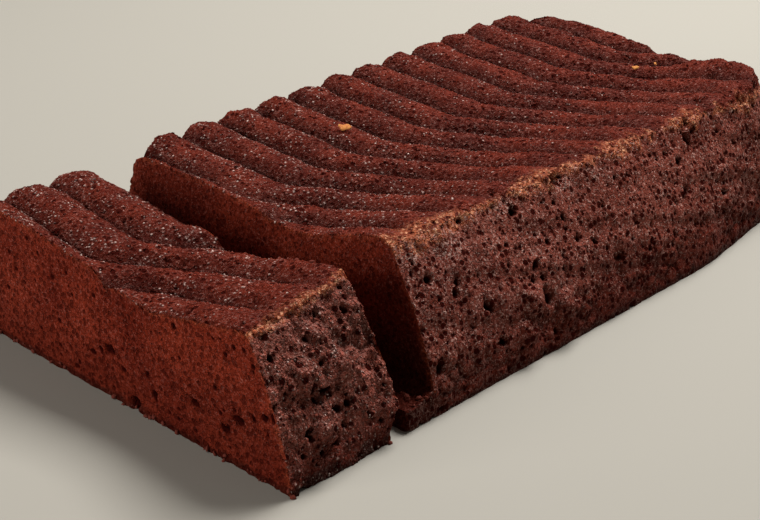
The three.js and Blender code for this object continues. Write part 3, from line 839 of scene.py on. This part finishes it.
def scatter(piece, count, value, seed):
    """Random spots of a piece, its quads drawn by area times a value: places, normals and values there."""
    mesh = piece.data
    rolls = np.random.default_rng(seed)
    places = np.zeros(3 * len(mesh.vertices))
    mesh.vertices.foreach_get("co", places)
    places = places.reshape(-1, 3) * MM - ORIGIN
    corners = np.zeros(len(mesh.loops), np.int32)
    mesh.loops.foreach_get("vertex_index", corners)
    quads = corners[: 4 * (len(mesh.polygons) - 1)].reshape(-1, 4)
    values = {}
    for layer in mesh.attributes:
        if layer.data_type == "FLOAT":
            values[layer.name] = np.zeros(len(places))
            layer.data.foreach_get("value", values[layer.name])
    cross = crossed(places, quads)
    area = np.linalg.norm(cross, axis=1)
    weight = area * values[value][quads].mean(axis=1)
    drawn = rolls.choice(len(quads), count, p=weight / weight.sum())
    u, v = rolls.random((2, len(drawn)))
    share = np.stack([(1 - u) * (1 - v), u * (1 - v), u * v, (1 - u) * v], axis=1)
    spots = (share[:, :, None] * places[quads[drawn]]).sum(axis=1)
    found = {key: (share * level[quads[drawn]]).sum(axis=1) for key, level in values.items()}
    return spots, cross[drawn] / area[drawn, None], found


def frames(outward, rolls):
    """Two unit vectors for each normal, square to it and to each other, turned at random."""
    first = unit(np.cross(outward, rolls.normal(size=outward.shape)))
    return first, np.cross(outward, first)


def granules(spots, outward, size, seed):
    """Many granules: two uneven cones base to base, turned at random and sunk to the rim where they lie."""
    rolls = np.random.default_rng(seed)
    count, sides = len(spots), GRANULE_SIDES
    first, second = (v[:, None] for v in frames(outward, rolls))
    reach = size * rolls.uniform(*GRANULE_REACH, (count, 1))
    angle = 2 * np.pi * np.arange(sides) / sides
    radius = (reach * rolls.uniform(*GRANULE_UNEVEN, (count, sides)))[..., None]
    ring = radius * (np.cos(angle)[:, None] * first + np.sin(angle)[:, None] * second)
    ring = ring + (spots - GRANULE_SUNK * reach * outward)[:, None]
    top = spots + reach * rolls.uniform(*GRANULE_RISE, (count, 1)) * outward
    points = np.concatenate([top[:, None], ring, (spots - reach * outward)[:, None]], axis=1)
    near, after = 1 + np.arange(sides), 1 + (np.arange(sides) + 1) % sides
    crown = np.stack([0 * near, near, after], axis=1)
    root = np.stack([0 * near + sides + 1, after, near], axis=1)
    faces = np.concatenate([crown, root]) + (sides + 2) * np.arange(count)[:, None, None]
    return points.reshape(-1, 3), faces.reshape(-1, 3), sides + 2


def painted_glint_share(spots, painted_shade_and_glints, seed):
    """Strength of the painted wet glint on each granule: most have none, few a bright one, and they crowd.
    """
    rolls = np.random.default_rng(seed + GLINT_SEED).random((2, len(spots)))
    crowd = painted_shade_and_glints * smooth(GLINT_COVER + layered(spots, GLINT_SWELL))
    return np.where(rolls[0] < GLINT_SHARE * crowd, mix(GLINT_FAINT, 1, rolls[1] ** GLINT_POWER), 0)


def crumb_heap(places, outward, size, seed):
    """Many crumbs: a ball of few faces, stretched, dented and turned at random, half sunk where it lies."""
    rolls = np.random.default_rng(seed)
    lattice, quads = closed_box((2, 2, 2))
    ball = unit(lattice - 1)
    count = len(places)
    first, second = rolls.normal(size=(2, count, 3))
    first = unit(first)
    second = unit(np.cross(first, second))
    turn = np.stack([first, second, np.cross(first, second)], axis=1)
    stretch = rolls.uniform(*CRUMB_STRETCH, (count, 1, 3))
    dents = rolls.uniform(*CRUMB_DENTS, (count, len(ball), 1))
    half = size * rolls.uniform(*CRUMB_REACH, (count, 1, 1))
    middle = places + CRUMB_LIFT * half[:, :, 0] * outward
    points = ((ball * stretch * dents) @ turn) * half + middle[:, None]
    numbered = quads + len(ball) * np.arange(count)[:, None, None]
    return points.reshape(-1, 3), numbered.reshape(-1, 4), len(ball)


def flake_shape(x, y, heading, length):
    """One flake: a lens on a grid, pointed at both ends, curled along its length and tilted on the top."""
    lattice, quads = closed_box(FLAKE_CELLS)
    u, v, w = (lattice / np.array(FLAKE_CELLS)).T * 2 - 1
    width = length * (FLAKE_WIDTH * (1 - FLAKE_POINTS * u**2) * v + FLAKE_WAVE * np.sin(FLAKE_WAVES * u))
    run = length / 2 * u * (1 - FLAKE_ROUND * v**2)
    thick = FLAKE_HALF * w * (1 - FLAKE_THIN * v**2)
    lift = thick + FLAKE_CURL * length * u**2 + FLAKE_TILT * width + FLAKE_LIFT
    c, s = np.cos(np.radians(heading)), np.sin(np.radians(heading))
    flat_x, flat_y = x + c * run - s * width, y + s * run + c * width
    return np.stack([flat_x, flat_y, lift + top_height(x, y, 0, 0)], axis=1), quads


# Patterns: ranges of a noise or a value over which each sets in
PATCH_IN, GRAIN_IN, SEAM_IN, PIT_IN = (0.34, 0.66), (0.3, 0.7), (0.38, 0.58), (1.05, 0.7)
DRY_HIGHLIGHT_IN, CRUST_IN, SPECK_IN, STREAK_IN = (0.35, 0.65), (0.38, 0.56), (0.5, 0.68), (0.45, 0.61)
SHINE_IN, UNLIT_IN, DRY_GRAIN_IN = (0.5, 0.62), (0.45, 0.95), (0.25, 0.6)
# Sizes of patterns in millimetres, and how far the cells are bent
BROKEN_SIZE, SPECK_SIZE, SHINE_SIZE, DRY_GRAIN, BEND_SIZE, BEND = 1.5, 1.1, 1.0, 0.9, 1.6, 0.7
# Strengths: painted highlight of the drier rim, crust, painted pore shade that the crust fills, painted
# sheen lost at the foot, light lost in holes
DRY_HIGHLIGHT_MOST, CRUST_MOST, CRUST_FILL, FOOT_DULL, UNLIT_MOST, STREAK_HALF = 0.7, 0.9, 0.5, 0.7, 0.8, 0.055
# Bumps of seams, grain and pits, and the plain settings of noise and shader
SEAM_BUMP, GRAIN_BUMP, PIT_BUMP, NOISE_ROUGHNESS = 0.35, 0.7, 0.7, 0.65
CAKE_IOR, PORE_ROUGH, DRY_ROUGH = 1.45, 0.95, 0.8


def add(tree, kind, links=None, **settings):
    """Adds a node to the tree: settings are its own values, links give inputs a value or an output."""
    made = tree.nodes.new("ShaderNode" + kind)
    for key, value in settings.items():
        setattr(made, key, value)
    for key, value in (links or {}).items():
        if isinstance(value, bpy.types.NodeSocket):
            tree.links.new(value, made.inputs[key])
        else:
            made.inputs[key].default_value = value
    return made


def per_mm(size):
    """Scale of a pattern on Object coordinates whose features are that many millimetres wide."""
    return MM / size


def blend(tree, share, first, second):
    """Colour at that share of the way from the first to the second."""
    return add(tree, "Mix", {0: share, 6: first, 7: second}, data_type="RGBA").outputs[2]


def fine_pits(tree, place, cell, size):
    """Mask of fine holes, one in each irregular cell: its radius is a random share of that size."""
    cells = add(tree, "TexVoronoi", {"Vector": place, "Scale": per_mm(cell)})
    roll = add(tree, "SeparateColor", {0: cells.outputs["Color"]}).outputs[0]
    share = maths(tree, "DIVIDE", cells.outputs["Distance"], times(tree, roll, size))
    return smooth_range(tree, share, *PIT_IN)


def seams(tree, place, cell, width):
    """Mask of the seams between nodules: 1 on the edges of irregular cells, 0 from that share inside."""
    cells = add(tree, "TexVoronoi", {"Vector": place, "Scale": per_mm(cell)}, feature="DISTANCE_TO_EDGE")
    return smooth_range(tree, cells.outputs["Distance"], width, 0.0)


def noise(tree, place, size, detail):
    """Random share around a half, with features of that many millimetres."""
    links = {"Vector": place, "Scale": per_mm(size), "Detail": detail, "Roughness": NOISE_ROUGHNESS}
    return add(tree, "TexNoise", links).outputs[0]


def smooth_range(tree, value, low, high, top=1.0):
    """Smooth step of a value from 0 at low to top at high."""
    steps = {"Value": value, "From Min": low, "From Max": high, "To Max": top}
    return add(tree, "MapRange", steps, interpolation_type="SMOOTHSTEP").outputs[0]


def maths(tree, operation, *values):
    """Result of one sum on two or three values."""
    return add(tree, "Math", dict(enumerate(values)), operation=operation).outputs[0]


def times(tree, first, second):
    """Product of two values."""
    return maths(tree, "MULTIPLY", first, second)


def most(tree, first, second):
    """Greater of two values."""
    return maths(tree, "MAXIMUM", first, second)


def less(tree, value, share):
    """One less that share of a value."""
    return maths(tree, "MULTIPLY_ADD", value, -share, 1.0)


def dimmed(tree, colour, share):
    """Colour times a share."""
    return add(tree, "VectorMath", {0: colour, 1: share}, operation="MULTIPLY").outputs[0]


def attribute(tree, name):
    """Value that the surface holds under that name at each point."""
    return add(tree, "Attribute", attribute_name=name).outputs["Fac"]


def cake_tree(name):
    """New material with an empty node tree, its Object coordinates, and those coordinates bent a little."""
    made = bpy.data.materials.new(name)
    made.use_nodes = True
    tree = made.node_tree
    tree.nodes.clear()
    place = add(tree, "TexCoord").outputs["Object"]
    wander = add(tree, "TexNoise", {"Vector": place, "Scale": per_mm(BEND_SIZE), "Detail": 2.0})
    shift = add(tree, "VectorMath", {0: wander.outputs["Color"], 1: (0.5, 0.5, 0.5)}, operation="SUBTRACT")
    shift = add(tree, "VectorMath", {0: shift.outputs[0], "Scale": BEND / MM}, operation="SCALE")
    bent = add(tree, "VectorMath", {0: place, 1: shift.outputs[0]}, operation="ADD").outputs[0]
    return made, tree, place, bent


def finish_tree(tree, colour, roughness, height, looks):
    """Shader and bump of a cake material, with the sheen that its looks give."""
    bump = add(tree, "Bump", {"Strength": 1.0, "Distance": looks["relief"] / MM, "Height": height})
    sockets = {"Base Color": colour, "Roughness": roughness, "Normal": bump.outputs[0]}
    sockets.update({"IOR": CAKE_IOR, "Specular IOR Level": looks["gloss"]})
    shader = add(tree, "BsdfPrincipled", sockets)
    add(tree, "OutputMaterial", {"Surface": shader.outputs[0]})


def chocolate(name, light, deep, colours, looks):
    """Cake material: browns in patches, painted warm bounce and painted shade from the surface, drier rim
    with a painted highlight, crust, painted sheen, painted shade in seams and pits, painted wet glints.
    """
    made, tree, place, bent = cake_tree(name)
    patch = noise(tree, place, looks["patch"], detail=5.0)
    grain = noise(tree, place, looks["grain"], detail=3.0)
    broken = noise(tree, place, BROKEN_SIZE, detail=4.0)
    wave = noise(tree, place, looks["streak"], detail=1.0)
    # Seams between nodules, darkened below as painted shade
    tiny = times(tree, seams(tree, bent, *looks["cell"]), smooth_range(tree, broken, *SEAM_IN))
    pits = fine_pits(tree, bent, *looks["pit"])
    foot, hollow = attribute(tree, "foot"), attribute(tree, "hollow")
    colour = blend(tree, smooth_range(tree, patch, *PATCH_IN), (*light, 1), (*deep, 1))
    # Painted warm bounce light near the foot, in the colour of the darker crumb
    colour = blend(tree, times(tree, foot, looks["painted_warm_bounce"]), colour, (*colours.crumb_deep, 1))
    # Painted shade of the grooves, crevices, foot, torn strip and cuts, from the shade attribute
    colour = blend(tree, times(tree, attribute(tree, "shade"), looks["shade"]), colour, (*colours.painted_shade_and_glints, 1))
    # Painted highlight along the cut edges, on drier crumb
    rim_highlight_and_dry = times(tree, attribute(tree, "dry_rim_and_highlight"), smooth_range(tree, broken, *DRY_HIGHLIGHT_IN, DRY_HIGHLIGHT_MOST))
    colour = blend(tree, rim_highlight_and_dry, colour, (*colours.dry_rim_and_highlight, 1))
    tan = times(tree, attribute(tree, "crust"), smooth_range(tree, broken, *CRUST_IN))
    colour = blend(tree, times(tree, tan, CRUST_MOST), colour, (*colours.crust, 1))
    swing = maths(tree, "MULTIPLY_ADD", smooth_range(tree, grain, *GRAIN_IN), 2.0, -1.0)
    colour = dimmed(tree, colour, maths(tree, "MULTIPLY_ADD", swing, looks["contrast"], 1.0))
    specks = times(tree, tan, smooth_range(tree, noise(tree, place, SPECK_SIZE, detail=2.0), *SPECK_IN))
    colour = blend(tree, specks, colour, (*colours.crust_light, 1))
    # Painted sheen: thin pale streaks on the walls, fewer at the foot, and patches of painted wet shine
    off = maths(tree, "ABSOLUTE", maths(tree, "SUBTRACT", wave, 0.5))
    streak = smooth_range(tree, off, STREAK_HALF, 0.0)
    streak = times(tree, streak, smooth_range(tree, grain, *STREAK_IN, looks["painted_sheen"]))
    streak = times(tree, streak, less(tree, foot, FOOT_DULL))
    damp = noise(tree, place, SHINE_SIZE, detail=2.0)
    painted_shine = times(tree, attribute(tree, "painted_shine"), smooth_range(tree, damp, *SHINE_IN))
    colour = blend(tree, most(tree, streak, painted_shine), colour, (*colours.painted_sheen, 1))
    # Painted shade: at the base of granules, in seams and pits, less under crust, and in holes
    dark = times(tree, less(tree, attribute(tree, "proud"), 1.0), looks["low"])
    dark = most(tree, dark, times(tree, tiny, looks["seam_shade"]))
    dark = most(tree, dark, times(tree, pits, looks["pit_shade"]))
    dark = times(tree, dark, less(tree, tan, CRUST_FILL))
    dark = most(tree, dark, smooth_range(tree, hollow, *looks["hole"]))
    colour = blend(tree, dark, colour, (*colours.pore_shade, 1))
    # Painted shade deep in the holes
    colour = dimmed(tree, colour, less(tree, smooth_range(tree, hollow, *UNLIT_IN), UNLIT_MOST))
    # Painted wet glints on the tips of the granules
    colour = blend(tree, maths(tree, "POWER", attribute(tree, "painted_glint"), 2.0), colour, (*colours.painted_glint, 1))
    roughness = {"Value": dark, "To Min": looks["rough"], "To Max": PORE_ROUGH}
    height = maths(tree, "MULTIPLY_ADD", tiny, -SEAM_BUMP, times(tree, grain, GRAIN_BUMP))
    height = maths(tree, "MULTIPLY_ADD", pits, -PIT_BUMP, height)
    finish_tree(tree, colour, add(tree, "MapRange", roughness).outputs[0], height, looks)
    return made


# Moist baked skin of the ribs: reddish brown granules with painted shade in seams and pores, some with a
# painted wet glint
TOP_LOOKS = dict(
    patch=16, grain=1.2, contrast=0.34, cell=(1.2, 0.15), seam_shade=0.7, pit=(2.3, 0.5), pit_shade=1.0,
    low=0.42, streak=1.0, painted_sheen=0.42, shade=0.95, rough=0.4, gloss=0.04,
    relief=0.7, painted_warm_bounce=0.0, hole=(0.1, 0.7),
)
# Baked skin of the sides: a sponge of round pits in painted dark red shade, in paler, moist walls with
# painted wet highlights
SIDE_LOOKS = dict(
    patch=22, grain=1.2, contrast=0.17, cell=(1.3, 0.17), seam_shade=0.65, pit=(2.0, 0.61), pit_shade=1.0,
    low=0.0, streak=1.3, painted_sheen=1.0, shade=0.9, rough=0.3, gloss=0.03,
    relief=0.8, painted_warm_bounce=0.8, hole=(0.1, 0.6),
)
# Torn end of the slice: moist nodules, redder and glossier than the skin, with painted shade in pits and
# crevices
END_LOOKS = dict(
    patch=9, grain=1.3, contrast=0.3, cell=(1.3, 0.17), seam_shade=0.65, pit=(2.5, 0.52), pit_shade=1.0,
    low=0.3, streak=1.3, painted_sheen=1.2, shade=1.0, rough=0.3, gloss=0.05,
    relief=1.0, painted_warm_bounce=0.8, hole=(0.1, 0.6),
)
# Cut crumb: redder and matt, close and even, with fine pores in painted dark shade
CRUMB_LOOKS = dict(
    patch=26, grain=1.1, contrast=0.28, cell=(1.1, 0.15), seam_shade=0.5, pit=(1.8, 0.54), pit_shade=0.65,
    low=0.0, streak=1.0, painted_sheen=0.15, shade=0.9, rough=0.7, gloss=0.03,
    relief=0.7, painted_warm_bounce=0.3, hole=(0.05, 0.4),
)
# Dry crumb: matt and rough
LOOSE_LOOKS = dict(gloss=0.15, relief=0.4)

# The cake's materials in the order of their slots: name, key of the colours, and looks
CAKE_SKINS = (
    ("Baked_cake_top", "top", TOP_LOOKS),
    ("Baked_cake_side", "side", SIDE_LOOKS),
    ("Cut_cake_crumb", "crumb", CRUMB_LOOKS),
    ("Torn_cake_end", "end", END_LOOKS),
)


def cake_materials(colours):
    """The cake's materials in the order of their slots, each made once."""
    made = []
    for name, key, looks in CAKE_SKINS:
        light, deep = getattr(colours, key), getattr(colours, key + "_deep")
        made.append(bpy.data.materials.get(name) or chocolate(name, light, deep, colours, looks))
    return made


def speckled(name, light, deep, looks):
    """Small dry bits: two colours mixed by a fine noise and, where there is any, by the share of crust."""
    made, tree, _, bent = cake_tree(name)
    grain = noise(tree, bent, DRY_GRAIN, detail=3.0)
    share = times(tree, attribute(tree, "crust"), smooth_range(tree, grain, *DRY_GRAIN_IN))
    colour = blend(tree, share, (*deep, 1), (*light, 1))
    finish_tree(tree, colour, DRY_ROUGH, grain, looks)
    return made


class CAKE_OT_loaf(bpy.types.Operator):
    """Build the loaf with its ribbed top, porous sides and torn strip"""

    bl_idname = "cake.loaf"
    bl_label = "Loaf"

    def execute(self, context):
        sizes, colours = context.scene.cake_sizes, context.scene.cake_colours
        form = dict(point=loaf_point, cells=LOAF_CELLS, ups=strip_levels(LOAF_CELLS[2]), both_cut=False)
        form["shift"] = np.zeros_like
        looks = dict(holes=LOAF_HOLES, clods=LOAF_CLODS, rough=1.0, torn=STRIP_ROOT, tear=1.0)
        # The cut's painted shade covers all of the loaf's cut at least this much
        looks.update(fill=0.2, groove=1.0, skin=SIDE, pored=0.2, damp=0.36)
        piece = cake_surface("loaf_surface", form, looks, sizes, cake_materials(colours))
        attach(piece, "root")
        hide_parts("loaf")
        return {"FINISHED"}


class CAKE_OT_slice(bpy.types.Operator):
    """Build the slice with its two cut faces and craggy end"""

    bl_idname = "cake.slice"
    bl_label = "Slice"

    def execute(self, context):
        sizes, colours = context.scene.cake_sizes, context.scene.cake_colours
        ups = np.linspace(0, 1, SLICE_CELLS[2] + 1)
        form = dict(point=slice_point, cells=SLICE_CELLS, ups=ups, both_cut=True, shift=slice_shift)
        looks = dict(holes=SLICE_HOLES, clods=SLICE_CLODS, rough=1.8, torn=0.04, tear=0.35)
        looks.update(fill=0.7, groove=0.85, skin=END, pored=0.65, damp=0.05)
        piece = cake_surface("slice_surface", form, looks, sizes, cake_materials(colours))
        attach(piece, "root")
        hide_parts("slice")
        return {"FINISHED"}


class CAKE_OT_granules(bpy.types.Operator):
    """Set the granules on both tops, on the slice's craggy end and in the broken crust"""

    bl_idname = "cake.granules"
    bl_label = "Granules"

    def execute(self, context):
        sizes, colours = context.scene.cake_sizes, context.scene.cake_colours
        size, gap = sizes.granule_size * MM, sizes.granule_gap * MM
        for seed, (part, where, slot, area, scale, painted_shine) in enumerate(GRANULE_FIELDS):
            count = int(area / (gap * scale) ** 2)
            surface = bpy.data.objects[part + "_surface"]
            spots, outward, found = scatter(surface, count, where, seed + FIELD_SEED)
            points, faces, each = granules(spots, outward, size * scale, seed)
            crown = np.arange(each) == 0
            values = {key: np.repeat(found[key], each) for key in ("shade", "crust", "foot")}
            # The base of each granule takes painted shade
            values["proud"] = np.tile(np.where(crown, 1.0, GRANULE_BASE), count)
            # Crowd of painted wet glints, fewer in the painted shade of the grooves
            damp = found["painted_shade_and_glints"] * (1 - found["shade"] ** 2) if where == "grainy" else painted_shine
            values["painted_glint"] = np.outer(painted_glint_share(spots, damp, seed), crown).ravel()
            materials = [cake_materials(colours)[slot]]
            piece = build_mesh(f"{part}_{where}_granules", points, faces, values=values, materials=materials)
            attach(piece, "root")
        return {"FINISHED"}


class CAKE_OT_crumbs(bpy.types.Operator):
    """Scatter crumbs on the cut edges and the torn strip"""

    bl_idname = "cake.crumbs"
    bl_label = "Crumbs"

    def execute(self, context):
        sizes, colours = context.scene.cake_sizes, context.scene.cake_colours
        material = speckled("Loose_dry_crumb", colours.crust, colours.side_deep, LOOSE_LOOKS)
        for seed, part in enumerate(("loaf", "slice")):
            surface = bpy.data.objects[part + "_surface"]
            places, outward, found = scatter(surface, sizes.crumb_count, "loose", seed)
            points, quads, each = crumb_heap(places, outward, sizes.crumb_size * MM, seed)
            values = {"crust": np.repeat(found["crust"], each)}
            piece = build_mesh(part + "_crumbs", points, quads, values=values, materials=[material])
            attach(piece, "root")
        return {"FINISHED"}


class CAKE_OT_flakes(bpy.types.Operator):
    """Lay the pale flakes on the loaf's top"""

    bl_idname = "cake.flakes"
    bl_label = "Flakes"

    def execute(self, context):
        sizes, colours = context.scene.cake_sizes, context.scene.cake_colours
        shapes = [flake_shape(*flake[:3], flake[3] * sizes.flake_length * MM) for flake in FLAKES]
        points = np.concatenate([shape[0] for shape in shapes])
        step = len(shapes[0][0])
        quads = np.concatenate([shape[1] + n * step for n, shape in enumerate(shapes)])
        material = speckled("Toasted_flake", colours.flake, colours.crust, LOOSE_LOOKS)
        values = {"crust": np.ones(len(points))}
        piece = build_mesh("flakes", points, quads, values=values, materials=[material])
        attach(piece, "root")
        return {"FINISHED"}


class CAKE_OT_stage(bpy.types.Operator):
    """Set up the pale floor, soft light and camera"""

    bl_idname = "cake.stage"
    bl_label = "Stage"

    def execute(self, context):
        scene = context.scene
        material = bpy.data.materials.new("Matt_painted_floor")
        material.use_nodes = True
        shader = material.node_tree.nodes["Principled BSDF"]
        shader.inputs["Base Color"].default_value = (*scene.cake_colours.floor, 1)
        shader.inputs["Roughness"].default_value = FLOOR_ROUGH
        mesh = bpy.data.meshes.new("floor")
        corners = [(x * FLOOR_HALF, y * FLOOR_HALF, 0) for x, y in ((-1, -1), (1, -1), (1, 1), (-1, 1))]
        mesh.from_pydata(corners, [], [(0, 1, 2, 3)])
        mesh.materials.append(material)
        floor = bpy.data.objects.new("floor", mesh)
        scene.collection.objects.link(floor)
        for name, place, size, power, colour in LAMPS:
            data = bpy.data.lights.new(name, "AREA")
            data.shape, data.size, data.energy, data.color = "SQUARE", size, power, colour
            lamp = bpy.data.objects.new(name, data)
            lamp.location = place
            lamp.rotation_euler = Vector(place).to_track_quat("Z", "Y").to_euler()
            scene.collection.objects.link(lamp)
        world = bpy.data.worlds.new("Pale_room")
        world.use_nodes = True
        sky = world.node_tree.nodes["Background"]
        sky.inputs["Color"].default_value = (*linear(SKY), 1)
        sky.inputs["Strength"].default_value = SKY_STRENGTH
        scene.world = world
        lens = bpy.data.cameras.new("camera")
        lens.lens, lens.sensor_width = LENS, SENSOR
        camera = bpy.data.objects.new("camera", lens)
        camera.location = CAMERA_PLACE
        camera.rotation_euler = Vector(CAMERA_AIM).to_track_quat("-Z", "Y").to_euler()
        scene.collection.objects.link(camera)
        scene.camera = camera
        scene.view_settings.view_transform = "Standard"
        return {"FINISHED"}


class CAKE_PT_panel(bpy.types.Panel):
    """Sizes, colours and builders of the cake"""

    bl_idname = "CAKE_PT_panel"
    bl_label = "Chocolate loaf cake"
    bl_space_type = "VIEW_3D"
    bl_region_type = "UI"
    bl_category = "Cake"

    def draw(self, context):
        for group in (context.scene.cake_sizes, context.scene.cake_colours):
            for key in group.__annotations__:
                self.layout.prop(group, key)
        for operator in OPERATORS:
            self.layout.operator(operator.bl_idname)


OPERATORS = (CAKE_OT_loaf, CAKE_OT_slice, CAKE_OT_granules, CAKE_OT_crumbs, CAKE_OT_flakes, CAKE_OT_stage)
CLASSES = (CakeSizes, CakeColours, *OPERATORS, CAKE_PT_panel)


def register():
    """Registers the classes and hangs the two property groups on the scene."""
    for made in CLASSES:
        bpy.utils.register_class(made)
    bpy.types.Scene.cake_sizes = bpy.props.PointerProperty(type=CakeSizes)
    bpy.types.Scene.cake_colours = bpy.props.PointerProperty(type=CakeColours)


def unregister():
    """Takes the property groups off the scene and unregisters the classes."""
    del bpy.types.Scene.cake_colours
    del bpy.types.Scene.cake_sizes
    for made in reversed(CLASSES):
        bpy.utils.unregister_class(made)


def main():
    """Builds the cake and the stage."""
    register()
    bpy.ops.cake.loaf()
    bpy.ops.cake.slice()
    bpy.ops.cake.granules()
    bpy.ops.cake.crumbs()
    bpy.ops.cake.flakes()
    bpy.ops.cake.stage()


if __name__ == "__main__":
    main()
